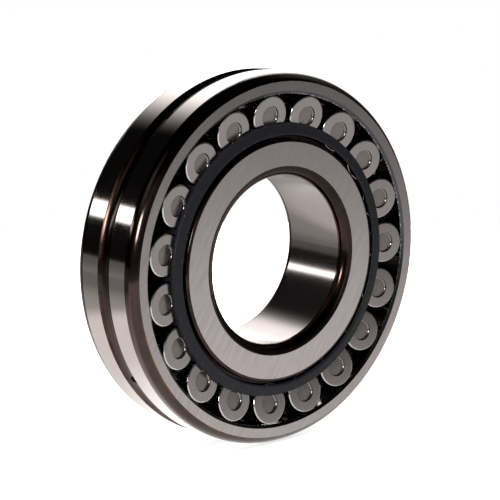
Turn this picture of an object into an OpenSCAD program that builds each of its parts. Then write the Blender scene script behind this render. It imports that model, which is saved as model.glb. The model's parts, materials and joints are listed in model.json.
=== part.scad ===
// Spherical roller bearing: two rows of barrel rollers run between a two-groove inner ring and
// an outer ring with one spherical raceway, so the inner set can swivel inside the outer ring.
// Each row has its own pressed steel window cage, and a loose guide ring sits between the rows.
//
// Frame: the origin is the bearing's centre, Y is the bearing's axis, the front face looks
// towards -Y and +Z is up. Row angles are counted from +X towards +Z.

/* [Ring sizes] */
// Bore diameter, the seat on the shaft
bore_d = 50; // [48:1:51]
// Outside diameter, the seat in the housing
outer_d = 110; // [109:1:113]
// Width of both rings
ring_w = 27; // [26.8:0.1:28]
// Radius of the round corners at the bore
bore_corner_r = 3; // [1.5:0.5:3]
// Length along the axis of the round corners at the outside diameter
outer_corner_w = 3.8; // [3:0.2:4.4]
// Height of those corners on the side faces
outer_corner_h = 2.4; // [1.8:0.1:2.6]
// Outside diameter of the inner ring's shoulders
shoulder_d = 72; // [71:0.5:72.5]
// Radius of the round corners on those shoulders
shoulder_corner_r = 1; // [0.5:0.1:1.5]

/* [Raceways] */
// Radius of the outer ring's spherical raceway
sphere_r = 50.6; // [50.4:0.1:50.8]
// Angle of the rollers' line of pressure from the bearing's mid plane
contact_angle = 9; // [8.8:0.1:9.2]
// Gap between each roller and each raceway
raceway_gap = 0.08; // [0.06:0.01:0.1]
// Chamfer where the raceway meets the outer ring's side faces
mouth_chamfer = 0.7; // [0.4:0.1:1]

/* [Rollers] */
// Rollers in each row
row_count = 19; // [14:1:19]
// Largest diameter of a roller
roller_d = 12.8; // [12.4:0.1:12.9]
// Length of a roller
roller_l = 10.4; // [10:0.1:10.6]
// Radius of the barrel's arc, just under the raceway's
barrel_r = 49.6; // [46:0.2:50]
// Radius of a roller's round end corners
roller_corner_r = 0.5; // [0.45:0.05:0.8]
// Diameter of the recess in each end of a roller
recess_d = 6.2; // [4:0.1:7]
// Depth of that recess
recess_depth = 0.8; // [0.5:0.1:1.2]
// Angle of the front row's first roller
front_start = 0; // [0:0.1:18]

/* [Cages and guide ring] */
// Thickness of the cages' sheet
sheet_t = 1.1; // [0.9:0.1:1.2]
// Clearance between a roller and its window
window_gap = 0.15; // [0.1:0.05:0.2]
// Inside diameter of the cages' front flange
flange_d = 73.8; // [73.6:0.2:74.4]
// Depth of the flange's inner edge behind the ring faces
flange_depth = 0.15; // [0.1:0.05:0.3]
// Distance of the cages' sheet below the rollers' axes
bar_drop = 2.95; // [2.7:0.05:3.2]
// Gap between the two cages at the mid plane
cage_split = 0.3; // [0.2:0.05:0.5]
// Outside diameter of the guide ring
guide_d = 81.2; // [79:0.2:81.4]
// Running clearance between the guide ring and the inner ring
guide_gap = 0.08; // [0.05:0.01:0.1]
// Clearance between the guide ring and the rollers' inner ends
guide_side_gap = 0.12; // [0.1:0.02:0.2]

/* [Lubrication] */
// Width of the oil groove round the outer ring
groove_w = 5.3; // [4.5:0.1:6]
// Depth of the oil groove
groove_depth = 1.2; // [0.8:0.1:1.6]
// Number of oil holes
oil_holes = 4; // [3:1:6]
// Diameter of an oil hole
oil_hole_d = 3; // [2:0.5:4]
// Angle of the first oil hole
oil_start = 35; // [0:0.5:90]

/* [Hidden] */
// Facets of a full turn: of the rings, of small rounds, of the rollers and of long shallow arcs
$fn = 180;
fine_fn = 48;
roller_fn = 96;
arc_fn = 360;
// How far a cut runs past the surface it opens
overlap = 1;
// Width of the mouth chamfer on a side face, for each millimetre of its depth
mouth_slope = 1.25;
// Length of the inner raceways past the rollers' outer ends
raceway_run = 0.4;
// Depth of the inner land below the circle where the raceways' arcs would cross
land_drop = 0.25;
// Sheet left between a window's outer end and the cage's bend
bend_margin = 0.1;
// How far the sheet's middle line is drawn past the rollers' inner ends, before the split cuts it
tail_run = 2;
// Distance of an end corner's centre from the barrel's end, as a share of the corner's radius
corner_inset = 0.8;
// Radius of the fillet round a recess's floor, as a share of the recess's depth
recess_fillet = 0.45;

bore_r = bore_d / 2;
outer_r = outer_d / 2;
half_w = ring_w / 2;
roller_r = roller_d / 2;
half_l = roller_l / 2;
pitch_angle = 360 / row_count;
back_start = front_start + pitch_angle / 2;

// A roller's middle lies this far from the bearing's centre
middle_r = sphere_r - raceway_gap - roller_r;
// Each inner raceway's arc has the sphere's radius and its centre this far out
inner_arc_at = middle_r - roller_r - raceway_gap + sphere_r;
// Radius of the land between the inner raceways
land_r = inner_arc_at * cos(contact_angle)
    - sqrt(pow(sphere_r, 2) - pow(inner_arc_at * sin(contact_angle), 2)) - land_drop;

// Points on a roller's axis, as [radius, distance in front of the mid plane]
outer_end = [
    middle_r * cos(contact_angle) - half_l * sin(contact_angle),
    middle_r * sin(contact_angle) + half_l * cos(contact_angle)
];
inner_end = [
    middle_r * cos(contact_angle) + half_l * sin(contact_angle),
    middle_r * sin(contact_angle) - half_l * cos(contact_angle)
];

// Distance from the mid plane at which the inner raceways end
raceway_end = outer_end[1] - roller_r * sin(contact_angle) + raceway_run;

// Middle line of the cage's sheet: the flange's inner edge, the bend and a point past the split
across_roller = [cos(contact_angle), sin(contact_angle)];
along_roller = [sin(contact_angle), -cos(contact_angle)];
flange_edge = [(flange_d + sheet_t) / 2, half_w - flange_depth - sheet_t / 2];
sheet_bend = outer_end - bar_drop * across_roller
    - (window_gap + bend_margin + sheet_t / 2) * along_roller;
sheet_tail = inner_end - bar_drop * across_roller + tail_run * along_roller;

FRONT = 1;
BACK = -1;

// Radius of the barrel at a distance from the roller's middle
function barrel_section_r(s) = roller_r - barrel_r + sqrt(barrel_r * barrel_r - s * s);

function two_digits(k) = str(k < 10 ? "0" : "", k);
function row_names(row) = [for (k = [1:row_count]) str("roller_", row, "_", two_digits(k))];

FRONT_ROLLERS = row_names("front");
BACK_ROLLERS = row_names("back");

// Turns a section of [radius, distance in front of the mid plane] about the bearing's axis
module turned() {
    rotate([90, 0, 0]) rotate_extrude() children();
}

// Repeats a section on both sides of the mid plane
module both_sides() {
    children();
    mirror([0, 1]) children();
}

// What is cut off a square corner at the origin, whose sides run along -X and -Y, to make it round
module round_corner(r) {
    difference() {
        translate([-r, -r]) square(r + overlap);
        translate([-r, -r]) circle(r, $fn = fine_fn);
    }
}

// The same for an arc that is tangent to the side along -Y, and w long there and h along -X
module eased_corner(w, h) {
    arc_r = (w * w + h * h) / (2 * h);
    difference() {
        translate([-h, -w]) square([h + overlap, w + overlap]);
        translate([-arc_r, -w]) circle(arc_r);
    }
}

// A flat strip of sheet between two points, with round ends
module strip(from, to, thickness) {
    run = to - from;
    translate(from) circle(d = thickness, $fn = fine_fn);
    translate(to) circle(d = thickness, $fn = fine_fn);
    translate(from) rotate(atan2(run[1], run[0]))
        translate([0, -thickness / 2]) square([norm(run), thickness]);
}

// Moves a shape made round Z at the origin onto a roller's axis, at its middle
module on_roller(row, angle) {
    tilt = row * contact_angle;
    rotate([0, -angle, 0])
        translate([middle_r * cos(tilt), -middle_r * sin(tilt), 0])
            rotate([90, 0, -tilt]) children();
}

module outer_ring_section() {
    groove_arc_r = (pow(groove_w / 2, 2) + pow(groove_depth, 2)) / (2 * groove_depth);
    mouth_r = sqrt(pow(sphere_r, 2) - pow(half_w - mouth_chamfer, 2));
    difference() {
        translate([bore_r, -half_w]) square([outer_r - bore_r, ring_w]);
        circle(sphere_r);
        translate([outer_r + groove_arc_r - groove_depth, 0]) circle(groove_arc_r);
        both_sides() translate([outer_r, half_w]) eased_corner(outer_corner_w, outer_corner_h);
        both_sides() polygon([
            [bore_r, half_w - mouth_chamfer],
            [mouth_r, half_w - mouth_chamfer],
            [mouth_r + mouth_chamfer * mouth_slope, half_w],
            [mouth_r + mouth_chamfer * mouth_slope, half_w + overlap],
            [bore_r, half_w + overlap]
        ]);
    }
}

module outer_ring() {
    color([0.62, 0.6, 0.58])
    difference() {
        turned() outer_ring_section();
        for (k = [0:oil_holes - 1])
            rotate([0, -oil_start - k * 360 / oil_holes, 0])
                translate([sphere_r - 2 * overlap, 0, 0]) rotate([0, 90, 0])
                    cylinder(d = oil_hole_d, h = outer_r - sphere_r + 4 * overlap, $fn = fine_fn);
    }
}

module inner_ring_section() {
    shoulder_r = shoulder_d / 2;
    difference() {
        translate([bore_r, -half_w]) square([land_r - bore_r, ring_w]);
        both_sides() translate([bore_r, half_w]) mirror([1, 0]) round_corner(bore_corner_r);
        both_sides() translate(inner_arc_at * across_roller) circle(sphere_r);
        both_sides() translate([shoulder_r, raceway_end]) square([land_r, half_w]);
        both_sides() translate([shoulder_r, half_w]) round_corner(shoulder_corner_r);
    }
}

module inner_ring() {
    color([0.58, 0.55, 0.52])
    turned() inner_ring_section();
}

// The guide ring's side faces are cones parallel to the rollers' inner ends
module guide_ring_section() {
    guide_bore_r = land_r + guide_gap;
    guide_r = guide_d / 2;
    slope = tan(contact_angle);
    side_at = inner_end[1] - inner_end[0] * slope - guide_side_gap / cos(contact_angle);
    bore_side = side_at + guide_bore_r * slope;
    rim_side = side_at + guide_r * slope;
    polygon([
        [guide_bore_r, -bore_side],
        [guide_r, -rim_side],
        [guide_r, rim_side],
        [guide_bore_r, bore_side]
    ]);
}

module guide_ring() {
    color([0.5, 0.49, 0.48])
    turned() guide_ring_section();
}

module cage_section() {
    intersection() {
        union() {
            strip(flange_edge, sheet_bend, sheet_t);
            strip(sheet_bend, sheet_tail, sheet_t);
        }
        translate([0, cage_split / 2]) square(outer_r);
    }
}

module cage(row, start) {
    color([0.17, 0.17, 0.19])
    difference() {
        mirror([0, row == FRONT ? 0 : 1, 0]) turned() cage_section();
        for (k = [0:row_count - 1])
            on_roller(row, start + k * pitch_angle)
                cylinder(r = roller_r + window_gap, h = roller_l + 2 * window_gap,
                    center = true, $fn = roller_fn);
    }
}

module cage_front() {
    cage(FRONT, front_start);
}

module cage_back() {
    cage(BACK, back_start);
}

// A roller's section as [radius, distance along its axis]: a barrel with round end corners and a
// recess in each end
module roller_section() {
    end_r = barrel_section_r(half_l);
    corner_at = [end_r - corner_inset * roller_corner_r, half_l - roller_corner_r];
    recess_r = recess_d / 2;
    recess_fillet_r = recess_depth * recess_fillet;
    difference() {
        intersection() {
            translate([roller_r - barrel_r, 0]) circle(barrel_r, $fn = arc_fn);
            union() {
                translate([0, -corner_at[1]]) square([2 * roller_r, 2 * corner_at[1]]);
                translate([0, -half_l]) square([corner_at[0], roller_l]);
                both_sides() translate(corner_at) circle(roller_corner_r, $fn = fine_fn);
            }
        }
        both_sides() {
            translate([0, half_l - recess_depth])
                square([recess_r - recess_fillet_r, recess_depth + overlap]);
            translate([0, half_l - recess_depth + recess_fillet_r])
                square([recess_r, recess_depth + overlap]);
            translate([recess_r - recess_fillet_r, half_l - recess_depth + recess_fillet_r])
                circle(recess_fillet_r, $fn = fine_fn);
        }
    }
}

module roller(row, angle) {
    color([0.72, 0.7, 0.68])
    on_roller(row, angle) rotate_extrude($fn = roller_fn) roller_section();
}

outer_ring();
inner_ring();
guide_ring();
cage_front();
cage_back();
for (k = [0:row_count - 1])
    roller(FRONT, front_start + k * pitch_angle);
for (k = [0:row_count - 1])
    roller(BACK, back_start + k * pitch_angle);
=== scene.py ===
"""Looks for the spherical roller bearing: finishes on the CAD pieces, a pale studio and the camera.

Everything is in metres in the CAD frame: the origin is the bearing's centre, Y is its axis, the
front face looks towards -Y and +Z is up.
"""

import json
import math

import bmesh
import bpy
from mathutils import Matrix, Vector


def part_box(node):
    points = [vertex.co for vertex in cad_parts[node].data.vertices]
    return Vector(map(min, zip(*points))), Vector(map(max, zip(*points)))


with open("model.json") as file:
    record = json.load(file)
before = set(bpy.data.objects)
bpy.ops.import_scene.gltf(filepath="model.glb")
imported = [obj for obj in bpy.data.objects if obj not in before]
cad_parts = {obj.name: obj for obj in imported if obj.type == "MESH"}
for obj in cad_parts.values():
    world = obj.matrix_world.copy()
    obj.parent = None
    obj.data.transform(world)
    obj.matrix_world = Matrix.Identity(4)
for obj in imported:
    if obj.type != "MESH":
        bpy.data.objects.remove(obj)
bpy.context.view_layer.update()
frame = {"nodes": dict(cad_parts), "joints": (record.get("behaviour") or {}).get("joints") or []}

MM = 0.001

# Sizes worked out from the frame
outer_lo, outer_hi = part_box("outer_ring")
OUTER_R = (outer_hi.x - outer_lo.x) / 2
HALF_W = (outer_hi.y - outer_lo.y) / 2
SPHERE_R = min(v.co.length for v in frame["nodes"]["outer_ring"].data.vertices)
BORE_R = min(math.hypot(v.co.x, v.co.z) for v in frame["nodes"]["inner_ring"].data.vertices)
SHOULDER_R = max(
    math.hypot(v.co.x, v.co.z)
    for v in frame["nodes"]["inner_ring"].data.vertices
    if abs(v.co.y) > HALF_W - 0.1 * MM
)
SHOULDER_DEPTH = 1.2 * MM

# Telling faces apart: how near counts as touching, and how far a normal leans towards an axis
TOUCH = 0.02 * MM
STRAIGHT_ALONG = 0.999
NEARLY_ALONG = 0.99
LEANING = 0.2
ROLLER_POINT = "roller_point"

# Camera
CAMERA_AZIMUTH = -40.7
CAMERA_ELEVATION = 11.4
CAMERA_DISTANCE = 0.6007
CAMERA_LENS = 145.8
AIM_LEFT = 0.71 * MM
AIM_UP = 1.28 * MM

# Floor: its size, its overhead light, and how bright its paint and its parts glow
FLOOR_R = 0.35
FLOOR_SIDES = 128
FLOOR_LIGHT_HEIGHT = 1.2
FLOOR_LIGHT_SIZE = 1.5
FLOOR_LIGHT_POWER = 50
PAINT_GLOW = 0.7
BACK_GLOW_NEAR, BACK_GLOW_FAR, BACK_GLOW_LEAST = 1.15, 0.22, 0.24
FRONT_GLOW_LEFT, FRONT_GLOW_RIGHT = 1.1, 0.8
UNDER_GLOW = 0.7

# Panels of light round the bearing: azimuth, elevation, half width, half height and the soft
# edges sideways and upwards, all in degrees, then brightness
UP = (0, 0, 1)
PANELS = {
    "white sweep behind": (36, 16, 26.5, 28, (20, 5), 2.6),
    "strip light at the left": (-43, 14.2, 18, 2.9, (4, 1.2), 5.0),
    "small bright light in front": (-116, 16, 7, 6, (3, 4), 34.0),
    "dim glow round that light": (-128, 18, 24, 16, (20, 12), 0.3),
    "glow straight in front": (180, 0, 16, 14, (12, 10), 0.8),
    "sheen at the left": (-90, 38, 16, 14, (12, 14), 0.45),
    "sheen at the right": (90, 38, 16, 14, (12, 14), 0.22),
}


# ---------------------------------------------------------------- node helpers


def add(tree, kind, inputs=None, **settings):
    """A new node with its properties set, and its inputs set or linked by name or number."""
    made = tree.nodes.new(kind)
    for name, value in settings.items():
        setattr(made, name, value)
    for key, value in (inputs or {}).items():
        if isinstance(value, bpy.types.NodeSocket):
            tree.links.new(value, made.inputs[key])
        else:
            made.inputs[key].default_value = value
    return made


def compute(tree, operation, a, b=0.0, c=0.0):
    """One sum on numbers or sockets, as a Math node."""
    return add(tree, "ShaderNodeMath", {0: a, 1: b, 2: c}, operation=operation).outputs[0]


def vector_of(tree, x, y, z):
    """A vector put together from numbers or sockets."""
    return add(tree, "ShaderNodeCombineXYZ", {0: x, 1: y, 2: z}).outputs[0]


def smooth(tree, value, start, end, low=0.0, high=1.0):
    """Runs smoothly from low at start to high at end, and stays there beyond them."""
    inputs = {0: value, 1: start, 2: end, 3: low, 4: high}
    return add(tree, "ShaderNodeMapRange", inputs, interpolation_type="SMOOTHSTEP").outputs[0]


def noise(tree, vector, detail=2.0, roughness=0.5):
    """Noise from 0 to 1, with one cell to each unit of the vector."""
    inputs = {"Vector": vector, "Scale": 1.0, "Detail": detail, "Roughness": roughness}
    return add(tree, "ShaderNodeTexNoise", inputs).outputs[0]


def blend_colours(tree, factor, a, b):
    """Colour a where the factor is 0, and b where it is 1."""
    inputs = {0: factor, 6: a, 7: b}
    return add(tree, "ShaderNodeMix", inputs, data_type="RGBA").outputs[2]


def colour(r, g, b):
    return (r, g, b, 1.0)


def stretched(tree, point, x, y, z):
    """The point times a number of cells per millimetre along each axis."""
    scale = (x / MM, y / MM, z / MM)
    return add(tree, "ShaderNodeVectorMath", {0: point, 1: scale}, operation="MULTIPLY").outputs[0]


def object_point(tree):
    """The shaded point in the piece's own frame, which is the CAD frame."""
    return add(tree, "ShaderNodeTexCoord").outputs["Object"]


def axis_distance(tree):
    """Distance from the bearing's axis."""
    x, _, z = add(tree, "ShaderNodeSeparateXYZ", {0: object_point(tree)}).outputs
    ground = vector_of(tree, x, 0.0, z)
    return add(tree, "ShaderNodeVectorMath", {0: ground}, operation="LENGTH").outputs["Value"]


def ground_lines(tree, point, lean, across, along):
    """Fine straight lines over a side face, at an angle to +X; the cells are per millimetre."""
    turned = add(
        tree,
        "ShaderNodeVectorRotate",
        {"Vector": point, "Angle": math.radians(lean)},
        rotation_type="Y_AXIS",
    ).outputs[0]
    return noise(tree, stretched(tree, turned, along, 0.0, across), detail=4.0, roughness=0.7)


def new_material(name, metallic=1.0):
    """A material with its node tree and its Principled shader."""
    material = bpy.data.materials.new(name)
    material.use_nodes = True
    tree = material.node_tree
    shader = tree.nodes["Principled BSDF"]
    shader.inputs["Metallic"].default_value = metallic
    return material, tree, shader


def finish_with(tree, shader, base, rough, height, depth):
    """Links the varying colour, roughness and bump; depth is the bump's full height."""
    tree.links.new(base, shader.inputs["Base Color"])
    tree.links.new(rough, shader.inputs["Roughness"])
    bump = add(tree, "ShaderNodeBump", {"Height": height, "Distance": depth})
    tree.links.new(bump.outputs[0], shader.inputs["Normal"])


# ------------------------------------------------------------------- materials


def ground_cylinder(name, low, high, rough_low, rough_high, metallic):
    """Seats on the outside and in the bore: mirror bright, with fine lines round the axis."""
    material, tree, shader = new_material(name, metallic)
    point = object_point(tree)
    lines = noise(tree, stretched(tree, point, 0.05, 9.0, 0.05), detail=3.0, roughness=0.6)
    stains = noise(tree, stretched(tree, point, 0.12, 0.12, 0.12), detail=4.0)
    base = blend_colours(tree, stains, low, high)
    rough = smooth(tree, lines, 0.2, 0.8, rough_low, rough_high)
    shader.inputs["Anisotropic"].default_value = 0.5
    tangent = add(tree, "ShaderNodeTangent", direction_type="RADIAL", axis="Y")
    tree.links.new(tangent.outputs[0], shader.inputs["Tangent"])
    finish_with(tree, shader, base, rough, lines, 0.0001 * MM)
    return material


def heat_scale(name, edge_radius, light, dark, tint, rough_low, rough_high, coat):
    """Oxide left by hardening on turned corners: near black, with brown where it thins out.

    The tint shows in patches beside the edge, where the scale is worn.
    """
    material, tree, shader = new_material(name)
    shader.inputs["Coat Weight"].default_value = coat
    shader.inputs["Coat Roughness"].default_value = 0.06
    radius = axis_distance(tree)
    point = object_point(tree)
    clouds = noise(tree, stretched(tree, point, 0.18, 0.35, 0.18), detail=5.0, roughness=0.6)
    turning = noise(tree, stretched(tree, point, 0.03, 3.5, 0.03), detail=3.0)
    grain = noise(tree, stretched(tree, point, 9.0, 9.0, 9.0), detail=3.0)
    mottle = compute(tree, "MULTIPLY_ADD", turning, 0.4, clouds)
    body = blend_colours(tree, smooth(tree, mottle, 0.5, 0.95), dark, light)
    to_edge = compute(tree, "ABSOLUTE", compute(tree, "SUBTRACT", radius, edge_radius))
    edge_mask = smooth(tree, to_edge, 0.1 * MM, 0.6 * MM, 1.0, 0.0)
    patchy = compute(tree, "MULTIPLY", edge_mask, smooth(tree, clouds, 0.35, 0.65))
    base = blend_colours(tree, patchy, body, tint)
    stain = compute(tree, "MULTIPLY_ADD", grain, 0.6, clouds)
    rough = smooth(tree, stain, 0.5, 1.1, rough_low, rough_high)
    height = compute(tree, "MULTIPLY_ADD", grain, 0.5, turning)
    finish_with(tree, shader, base, rough, height, 0.0008 * MM)
    return material


def ground_face(name, lean, low, high, rough_low, rough_high):
    """Side faces: matt grey, with the straight lines of a surface grinder."""
    material, tree, shader = new_material(name)
    point = object_point(tree)
    lines = ground_lines(tree, point, lean, 2.6, 0.09)
    clouds = noise(tree, stretched(tree, point, 0.1, 0.1, 0.1), detail=4.0)
    grain = noise(tree, stretched(tree, point, 6.0, 6.0, 6.0), detail=2.0)
    pattern = compute(tree, "MULTIPLY_ADD", grain, 0.3, lines)
    base = blend_colours(tree, smooth(tree, pattern, 0.4, 0.9), low, high)
    rough = compute(
        tree, "MULTIPLY_ADD", clouds, 0.08, smooth(tree, pattern, 0.4, 0.9, rough_high, rough_low)
    )
    finish_with(tree, shader, base, rough, pattern, 0.0007 * MM)
    return material


def raceway_with_painted_shade():
    """Raceways: superfinished, with a faint sheen of lines along the way; their colour is painted dark
    as painted shade, so the gaps between the rollers read black.
    """
    material, tree, shader = new_material("raceway_with_painted_shade")
    point = object_point(tree)
    lines = noise(tree, stretched(tree, point, 0.06, 6.0, 0.06), detail=3.0)
    clouds = noise(tree, stretched(tree, point, 0.2, 0.2, 0.2), detail=3.0)
    # Painted shade: a colour far darker than bright steel, standing in for the shade between the
    # rollers.
    base = blend_colours(tree, clouds, colour(0.13, 0.125, 0.12), colour(0.19, 0.18, 0.175))
    rough = smooth(tree, lines, 0.2, 0.8, 0.05, 0.1)
    finish_with(tree, shader, base, rough, lines, 0.0004 * MM)
    return material


def mouth_edge(inner_edge):
    """The turned chamfer at the raceway's mouth: dark and bluish, with a painted highlight along its
    inner edge, broken into dots.
    """
    material, tree, shader = new_material("mouth_edge")
    point = object_point(tree)
    clouds = noise(tree, stretched(tree, point, 0.25, 0.5, 0.25), detail=4.0)
    lines = noise(tree, stretched(tree, point, 0.08, 7.0, 0.08), detail=2.0)
    dents = noise(tree, stretched(tree, point, 1.3, 1.3, 1.3), detail=2.0)
    body = blend_colours(tree, clouds, colour(0.045, 0.045, 0.05), colour(0.12, 0.12, 0.14))
    # Painted highlight: a pale band along the chamfer's inner edge, broken into dots, stands in for a
    # light caught on that edge.
    edge_mask = smooth(tree, axis_distance(tree), inner_edge + 0.3 * MM, inner_edge + 0.1 * MM)
    dotted_highlight = compute(tree, "MULTIPLY", edge_mask, smooth(tree, dents, 0.48, 0.66))
    base = blend_colours(tree, dotted_highlight, body, colour(0.42, 0.42, 0.435))
    rough = smooth(tree, lines, 0.2, 0.8, 0.16, 0.3)
    height = compute(tree, "MULTIPLY_ADD", dents, 6.0, lines)
    finish_with(tree, shader, base, rough, height, 0.006 * MM)
    return material


def drilled_hole():
    """Walls of the oil holes: dark, with the spiral marks of the drill."""
    material, tree, shader = new_material("drilled_hole")
    point = object_point(tree)
    marks = noise(tree, stretched(tree, point, 4.0, 1.0, 4.0), detail=3.0)
    base = blend_colours(tree, marks, colour(0.02, 0.016, 0.014), colour(0.1, 0.075, 0.06))
    rough = smooth(tree, marks, 0.2, 0.8, 0.35, 0.6)
    finish_with(tree, shader, base, rough, marks, 0.002 * MM)
    return material


def guide_steel():
    """The guide ring: plain turned and ground steel."""
    material, tree, shader = new_material("guide_steel")
    point = object_point(tree)
    lines = noise(tree, stretched(tree, point, 0.1, 5.0, 0.1), detail=3.0)
    clouds = noise(tree, stretched(tree, point, 0.15, 0.15, 0.15), detail=3.0)
    base = blend_colours(tree, clouds, colour(0.42, 0.4, 0.39), colour(0.55, 0.53, 0.52))
    rough = smooth(tree, lines, 0.2, 0.8, 0.22, 0.4)
    finish_with(tree, shader, base, rough, lines, 0.001 * MM)
    return material


def cage_black():
    """Pressed sheet under a black phosphate coat: satin, slightly wavy, with pale specks."""
    material, tree, shader = new_material("cage_black", metallic=0.0)
    shader.inputs["Specular IOR Level"].default_value = 0.25
    point = object_point(tree)
    waves = noise(tree, stretched(tree, point, 0.12, 0.12, 0.12), detail=2.0)
    grain = noise(tree, stretched(tree, point, 5.0, 5.0, 5.0), detail=4.0, roughness=0.7)
    specks = noise(tree, stretched(tree, point, 2.2, 2.2, 2.2), detail=1.0)
    body = blend_colours(tree, grain, colour(0.005, 0.005, 0.007), colour(0.014, 0.014, 0.0185))
    speckle = smooth(tree, specks, 0.72, 0.8)
    base = blend_colours(tree, speckle, body, colour(0.16, 0.16, 0.17))
    rough = compute(tree, "MULTIPLY_ADD", waves, 0.14, smooth(tree, grain, 0.25, 0.75, 0.36, 0.5))
    height = compute(tree, "MULTIPLY_ADD", waves, 12.0, grain)
    finish_with(tree, shader, base, rough, height, 0.003 * MM)
    return material


def roller_point(tree):
    """Place on a roller, as a vector across and along its axis, and the distance from that axis."""
    place = add(tree, "ShaderNodeAttribute", attribute_name=ROLLER_POINT).outputs["Vector"]
    u, v, _ = add(tree, "ShaderNodeSeparateXYZ", {0: place}).outputs
    across = vector_of(tree, u, v, 0.0)
    radius = add(tree, "ShaderNodeVectorMath", {0: across}, operation="LENGTH").outputs["Value"]
    return place, radius


def roller_flank():
    """The barrel and its round corners: superfinished, with lines round the roller's axis."""
    material, tree, shader = new_material("roller_flank")
    place, _ = roller_point(tree)
    lines = noise(tree, stretched(tree, place, 0.1, 0.1, 8.0), detail=3.0)
    clouds = noise(tree, stretched(tree, place, 0.3, 0.3, 0.3), detail=3.0)
    base = blend_colours(tree, clouds, colour(0.55, 0.535, 0.52), colour(0.66, 0.64, 0.625))
    rough = smooth(tree, lines, 0.2, 0.8, 0.06, 0.13)
    finish_with(tree, shader, base, rough, lines, 0.0003 * MM)
    return material


def roller_end():
    """The ground ring on a roller's end, with fine rings and a few cross scratches."""
    material, tree, shader = new_material("roller_end")
    place, radius = roller_point(tree)
    ringed = vector_of(tree, compute(tree, "MULTIPLY", radius, 9.0 / MM), 0.0, 0.0)
    rings = noise(tree, ringed, detail=2.0)
    scratches = noise(tree, stretched(tree, place, 0.4, 6.0, 0.4), detail=3.0)
    clouds = noise(tree, stretched(tree, place, 0.35, 0.35, 0.35), detail=4.0)
    pattern = compute(tree, "MULTIPLY_ADD", scratches, 0.6, rings)
    shade = compute(tree, "MULTIPLY_ADD", clouds, 0.4, smooth(tree, pattern, 0.4, 1.2, 0.0, 0.7))
    base = blend_colours(tree, shade, colour(0.27, 0.252, 0.246), colour(0.37, 0.347, 0.339))
    rough = smooth(tree, pattern, 0.4, 1.2, 0.22, 0.15)
    finish_with(tree, shader, base, rough, pattern, 0.0008 * MM)
    return material


def roller_recess(name, low, high, rough_low, rough_high, metallic):
    """The turned recess in a roller's end: browner, with coarser rings; dirt dulls its floor."""
    material, tree, shader = new_material(name, metallic)
    place, radius = roller_point(tree)
    ringed = vector_of(tree, compute(tree, "MULTIPLY", radius, 4.0 / MM), 0.0, 0.0)
    rings = noise(tree, ringed, detail=2.0)
    clouds = noise(tree, stretched(tree, place, 0.5, 0.5, 0.5), detail=4.0, roughness=0.6)
    shade = compute(tree, "MULTIPLY_ADD", clouds, 0.5, smooth(tree, rings, 0.3, 0.7, 0.0, 0.5))
    base = blend_colours(tree, shade, low, high)
    rough = smooth(tree, clouds, 0.3, 0.7, rough_low, rough_high)
    finish_with(tree, shader, base, rough, rings, 0.0005 * MM)
    return material


def floor_glow(tree, point):
    """How bright the floor glows to all but the camera: painted light, as though the floor were a
    lamp, in a painted pool that is brightest behind and below the bearing.
    """
    x, y, _ = add(tree, "ShaderNodeSeparateXYZ", {0: point}).outputs
    reach = add(tree, "ShaderNodeVectorMath", {0: point}, operation="LENGTH").outputs["Value"]
    fading = smooth(tree, reach, 120 * MM, 300 * MM, BACK_GLOW_NEAR, BACK_GLOW_FAR)
    dip = smooth(tree, y, 75 * MM, 100 * MM, 1.0, 0.5)
    behind = compute(tree, "MAXIMUM", compute(tree, "MULTIPLY", fading, dip), BACK_GLOW_LEAST)
    ahead = smooth(tree, x, -60 * MM, 60 * MM, FRONT_GLOW_LEFT, FRONT_GLOW_RIGHT)
    around = smooth(tree, y, -HALF_W, HALF_W, ahead, behind)
    # Painted light: extra glow right under the bearing, where its own shadow falls.
    from_front = smooth(tree, y, -0.6 * HALF_W, 0.0)
    from_back = smooth(tree, y, 38 * MM, 5 * MM)
    under = compute(tree, "MULTIPLY", from_front, from_back)
    return compute(tree, "MULTIPLY_ADD", under, UNDER_GLOW, around)


def floor_paint():
    """Plain pale paint. The camera sees it softly lit, with an even painted glow that washes out the
    bearing's shadow, and the bearing sees the painted pool of light from floor_glow.
    """
    material, tree, shader = new_material("floor_paint", metallic=0.0)
    point = object_point(tree)
    clouds = noise(tree, stretched(tree, point, 0.01, 0.01, 0.01), detail=3.0)
    grain = noise(tree, stretched(tree, point, 0.8, 0.8, 0.8), detail=2.0)
    base = blend_colours(tree, clouds, colour(0.86, 0.86, 0.86), colour(0.89, 0.89, 0.89))
    rough = smooth(tree, grain, 0.2, 0.8, 0.75, 0.9)
    finish_with(tree, shader, base, rough, grain, 0.01 * MM)
    # Painted light: an even glow over the paint, so the bearing's shadow on the floor washes out for
    # the camera.
    shader.inputs["Emission Color"].default_value = colour(1, 1, 1)
    shader.inputs["Emission Strength"].default_value = PAINT_GLOW
    glow = {"Color": colour(1, 0.97, 0.955), "Strength": floor_glow(tree, point)}
    painted_glow_shader = add(tree, "ShaderNodeEmission", glow)
    seen = add(tree, "ShaderNodeLightPath").outputs["Is Camera Ray"]
    inputs = {0: seen, 1: painted_glow_shader.outputs[0], 2: shader.outputs[0]}
    mix = add(tree, "ShaderNodeMixShader", inputs)
    tree.links.new(mix.outputs[0], tree.nodes["Material Output"].inputs["Surface"])
    return material


# ------------------------------------------------- which finish a face is given


def finish_zones(piece, finishes, zone_of):
    """Gives each face of a piece the finish that zone_of names for its centre and normal."""
    mesh = piece.data
    order = list(finishes)
    mesh.materials.clear()
    for name in order:
        mesh.materials.append(finishes[name])
    for polygon in mesh.polygons:
        polygon.material_index = order.index(zone_of(mesh, polygon))


def around_axis(polygon):
    """A face's distance from the bearing's axis and along it, and its normal outwards and along."""
    centre, normal = polygon.center, polygon.normal
    radius = math.hypot(centre.x, centre.z)
    outwards = (normal.x * centre.x + normal.z * centre.z) / radius
    return radius, centre.y, outwards, normal.y


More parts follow.
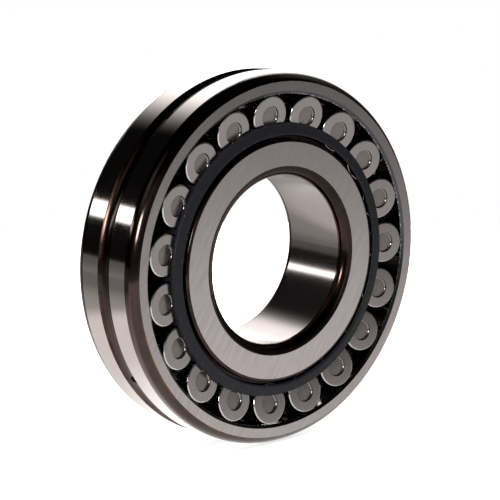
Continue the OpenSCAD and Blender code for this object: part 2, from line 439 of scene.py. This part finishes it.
def outer_ring_zone(mesh, polygon):
    """Which surface of the outer ring a face belongs to."""
    _, axial, outwards, along = around_axis(polygon)
    corners = [mesh.vertices[i].co for i in polygon.vertices]
    if abs(along) > STRAIGHT_ALONG:
        return "face"
    if all(abs(c.length - SPHERE_R) < TOUCH for c in corners):
        return "raceway"
    if all(abs(math.hypot(c.x, c.z) - OUTER_R) < TOUCH for c in corners):
        return "seat"
    if outwards > LEANING:
        return "groove" if abs(axial) < HALF_W / 2 else "corner"
    if abs(along) > LEANING and outwards < 0 and abs(axial) > HALF_W / 2:
        return "mouth"
    return "hole"


def inner_ring_zone(mesh, polygon):
    """Which surface of the inner ring a face belongs to."""
    radius, axial, outwards, along = around_axis(polygon)
    corners = [mesh.vertices[i].co for i in polygon.vertices]
    if abs(along) > STRAIGHT_ALONG and abs(axial) > HALF_W - TOUCH:
        return "face"
    if all(abs(math.hypot(c.x, c.z) - BORE_R) < TOUCH for c in corners):
        return "bore"
    if outwards < 0:
        return "bore_corner"
    if radius < SHOULDER_R + SHOULDER_DEPTH and abs(axial) > HALF_W / 2:
        return "shoulder"
    return "raceway"


def mark_roller(piece, centre, axis):
    """Stores each vertex's place across and along the roller's own axis, for its materials."""
    across = axis.orthogonal().normalized()
    beside = axis.cross(across)
    mesh = piece.data
    places = []
    for vertex in mesh.vertices:
        offset = vertex.co - centre
        places += [offset.dot(across), offset.dot(beside), offset.dot(axis)]
    attribute = mesh.attributes.new(ROLLER_POINT, "FLOAT_VECTOR", "POINT")
    attribute.data.foreach_set("vector", places)


def roller_zone(centre, axis, half_length, recess_r):
    """The function that says which surface of this roller a face belongs to."""

    def zone(mesh, polygon):
        offset = polygon.center - centre
        along = offset.dot(axis)
        radius = (offset - along * axis).length
        if radius < recess_r + TOUCH:
            return "recess" if abs(polygon.normal.dot(axis)) > NEARLY_ALONG else "recess_edge"
        if abs(abs(along) - half_length) < TOUCH:
            return "end"
        return "flank"

    return zone


def recess_radius(piece, centre, axis, half_length):
    """The smallest distance from the axis at which the roller's flat end has a vertex."""
    distances = []
    for vertex in piece.data.vertices:
        offset = vertex.co - centre
        along = offset.dot(axis)
        if abs(abs(along) - half_length) < TOUCH:
            distances.append((offset - along * axis).length)
    return min(distances)


def finish_roller(name, joint, finishes):
    """Works out a roller's axis and sizes from its joint and its mesh, then finishes its faces."""
    piece = frame["nodes"][name]
    centre = Vector(joint["pos_m"])
    axis = Vector(joint["axis"]).normalized()
    half_length = max((v.co - centre).dot(axis) for v in piece.data.vertices)
    recess_r = recess_radius(piece, centre, axis, half_length)
    mark_roller(piece, centre, axis)
    finish_zones(piece, finishes, roller_zone(centre, axis, half_length, recess_r))


def mouth_radius(mesh):
    """The radius at which the chamfers of the outer ring's mouths meet its raceway."""
    return min(
        math.hypot(mesh.vertices[i].co.x, mesh.vertices[i].co.z)
        for polygon in mesh.polygons
        if outer_ring_zone(mesh, polygon) == "mouth"
        for i in polygon.vertices
    )


def outer_face_edge():
    """Outer radius of the outer ring's flat side face."""
    return max(
        math.hypot(v.co.x, v.co.z)
        for v in frame["nodes"]["outer_ring"].data.vertices
        if abs(v.co.y) > HALF_W - TOUCH
    )


def corner_scale():
    """The outer ring's large round corners: glossy black, going brown at the side face's edge."""
    return heat_scale(
        "corner_scale",
        outer_face_edge(),
        light=colour(0.044, 0.023, 0.016),
        dark=colour(0.024, 0.009, 0.006),
        tint=colour(0.11, 0.036, 0.012),
        rough_low=0.09,
        rough_high=0.18,
        coat=0.8,
    )


def groove_scale():
    """The oil groove: duller, with brown at its edges."""
    return heat_scale(
        "groove_scale",
        OUTER_R,
        light=colour(0.044, 0.029, 0.024),
        dark=colour(0.022, 0.010, 0.007),
        tint=colour(0.08, 0.038, 0.020),
        rough_low=0.14,
        rough_high=0.26,
        coat=0.3,
    )


def bore_corner_scale():
    """The round corners of the bore."""
    return heat_scale(
        "bore_corner_scale",
        BORE_R,
        light=colour(0.036, 0.018, 0.013),
        dark=colour(0.014, 0.006, 0.004),
        tint=colour(0.08, 0.036, 0.022),
        rough_low=0.08,
        rough_high=0.18,
        coat=0.35,
    )


def shoulder_scale():
    """The inner ring's outer edge, beside the cage."""
    return heat_scale(
        "shoulder_scale",
        SHOULDER_R,
        light=colour(0.022, 0.010, 0.008),
        dark=colour(0.008, 0.004, 0.004),
        tint=colour(0.045, 0.017, 0.011),
        rough_low=0.12,
        rough_high=0.25,
        coat=0.35,
    )


def finish_outer_ring(raceway):
    outer_ring = frame["nodes"]["outer_ring"]
    finishes = {
        "face": ground_face(
            "outer_face", 62, colour(0.37, 0.342, 0.34), colour(0.50, 0.465, 0.463), 0.22, 0.32
        ),
        "seat": ground_cylinder(
            "ground_seat", colour(0.46, 0.415, 0.395), colour(0.53, 0.48, 0.46), 0.03, 0.09, 1.0
        ),
        "corner": corner_scale(),
        "groove": groove_scale(),
        "raceway": raceway,
        "mouth": mouth_edge(mouth_radius(outer_ring.data)),
        "hole": drilled_hole(),
    }
    finish_zones(outer_ring, finishes, outer_ring_zone)


def finish_inner_ring(raceway):
    finishes = {
        "face": ground_face(
            "inner_face", 58, colour(0.49, 0.452, 0.45), colour(0.64, 0.592, 0.59), 0.24, 0.34
        ),
        "bore": ground_cylinder(
            "ground_bore", colour(0.28, 0.25, 0.24), colour(0.35, 0.315, 0.305), 0.08, 0.15, 0.98
        ),
        "bore_corner": bore_corner_scale(),
        "shoulder": shoulder_scale(),
        "raceway": raceway,
    }
    finish_zones(frame["nodes"]["inner_ring"], finishes, inner_ring_zone)


def finish_plain(name, material):
    """Gives a whole piece one finish."""
    finish_zones(frame["nodes"][name], {"all": material}, lambda mesh, polygon: "all")


def finish_rollers():
    finishes = {
        "flank": roller_flank(),
        "end": roller_end(),
        "recess": roller_recess(
            "roller_recess", colour(0.19, 0.165, 0.157), colour(0.27, 0.24, 0.23), 0.2, 0.3, 0.82
        ),
        "recess_edge": roller_recess(
            "recess_edge", colour(0.24, 0.224, 0.218), colour(0.33, 0.31, 0.302), 0.1, 0.17, 1.0
        ),
    }
    joints = {joint["child"]: joint for joint in frame["joints"]}
    for name in frame["nodes"]:
        if name.startswith("roller_"):
            finish_roller(name, joints[name], finishes)


def finish_bearing():
    raceway = raceway_with_painted_shade()
    finish_outer_ring(raceway)
    finish_inner_ring(raceway)
    finish_plain("guide_ring", guide_steel())
    black = cage_black()
    for cage in ("cage_front", "cage_back"):
        finish_plain(cage, black)
    finish_rollers()


# ---------------------------------------------------------------------- studio


def direction(azimuth, elevation):
    """A unit vector: azimuth counts from +Y towards +X, elevation up from the floor."""
    a, e = math.radians(azimuth), math.radians(elevation)
    return Vector((math.sin(a) * math.cos(e), math.cos(a) * math.cos(e), math.sin(e)))


def panel(tree, ray, azimuth, elevation, half_width, half_height, edges, brightness):
    """Light of a soft-edged panel round that direction; its sizes and edges are in degrees."""

    def along(axis):
        inputs = {0: ray, 1: axis}
        return add(tree, "ShaderNodeVectorMath", inputs, operation="DOT_PRODUCT").outputs["Value"]

    sideways = compute(
        tree, "ARCTAN2", along(direction(azimuth + 90, 0)), along(direction(azimuth, 0))
    )
    upwards = compute(
        tree, "SUBTRACT", compute(tree, "ARCSINE", along(UP)), math.radians(elevation)
    )
    light = brightness
    for angle, half, edge in (
        (sideways, half_width, edges[0]),
        (upwards, half_height, edges[1]),
    ):
        off = compute(tree, "ABSOLUTE", angle)
        fade = smooth(tree, off, math.radians(half - edge), math.radians(half + edge), 1.0, 0.0)
        light = compute(tree, "MULTIPLY", compute(tree, "POWER", fade, 1.5), light)
    return light


def studio_world():
    """Dark sides, a pale foot below the horizon and the panels; the camera itself sees white."""
    world = bpy.data.worlds.new("studio")
    world.use_nodes = True
    tree = world.node_tree
    tree.nodes.clear()
    ray = add(tree, "ShaderNodeTexCoord").outputs["Generated"]
    _, y, z = add(tree, "ShaderNodeSeparateXYZ", {0: ray}).outputs
    behind = smooth(tree, y, -0.3, 0.3)
    front_above = smooth(tree, z, 0.25, 0.6, 0.10, 0.01)
    front_below = smooth(tree, z, -0.2, -0.05, 0.34, 0.12)
    back_above = 0.005
    back_below = smooth(tree, z, -0.45, -0.08, 1.1, 0.17)
    above = smooth(tree, behind, 0.0, 1.0, front_above, back_above)
    below = smooth(tree, behind, 0.0, 1.0, front_below, back_below)
    total = smooth(tree, z, -0.08, -0.055, below, above)
    for shape in PANELS.values():
        total = compute(tree, "MAXIMUM", total, panel(tree, ray, *shape))
    lit = {"Color": colour(1, 0.985, 0.97), "Strength": total}
    light = add(tree, "ShaderNodeBackground", lit)
    plain = add(tree, "ShaderNodeBackground", {"Color": colour(1, 1, 1), "Strength": 1.0})
    seen = add(tree, "ShaderNodeLightPath").outputs["Is Camera Ray"]
    mix = add(tree, "ShaderNodeMixShader", {0: seen, 1: light.outputs[0], 2: plain.outputs[0]})
    add(tree, "ShaderNodeOutputWorld", {"Surface": mix.outputs[0]})
    bpy.context.scene.world = world


def add_floor():
    """A round floor under the bearing, kept out of the exported model."""
    mesh = bpy.data.meshes.new("floor")
    shape = bmesh.new()
    bmesh.ops.create_circle(shape, cap_ends=True, segments=FLOOR_SIDES, radius=FLOOR_R)
    shape.to_mesh(mesh)
    shape.free()
    floor = bpy.data.objects.new("floor", mesh)
    floor.location = (0, 0, outer_lo.z)
    mesh.materials.append(floor_paint())
    bpy.context.scene.collection.objects.link(floor)


def add_floor_light():
    """A wide soft light overhead that the metals don't mirror, so that they keep their darks."""
    data = bpy.data.lights.new("floor_light", "AREA")
    data.size = FLOOR_LIGHT_SIZE
    data.energy = FLOOR_LIGHT_POWER
    light = bpy.data.objects.new("floor_light", data)
    light.location = (0, 0, FLOOR_LIGHT_HEIGHT)
    light.visible_glossy = False
    bpy.context.scene.collection.objects.link(light)


def add_camera():
    """The photo's view: it looks at a point beside and above the bearing's centre."""
    data = bpy.data.cameras.new("camera")
    data.lens = CAMERA_LENS
    data.clip_start = 0.05
    data.clip_end = 10
    camera = bpy.data.objects.new("camera", data)
    bpy.context.scene.collection.objects.link(camera)
    back = -direction(-CAMERA_AZIMUTH, -CAMERA_ELEVATION)
    camera.location = back * CAMERA_DISTANCE
    right = Vector(UP).cross(back).normalized()
    aim = -AIM_LEFT * right + AIM_UP * back.cross(right)
    camera.rotation_euler = (camera.location - aim).to_track_quat("Z", "Y").to_euler()
    bpy.context.scene.camera = camera


finish_bearing()
studio_world()
add_floor()
add_floor_light()
add_camera()
bpy.context.scene.view_settings.view_transform = "Standard"
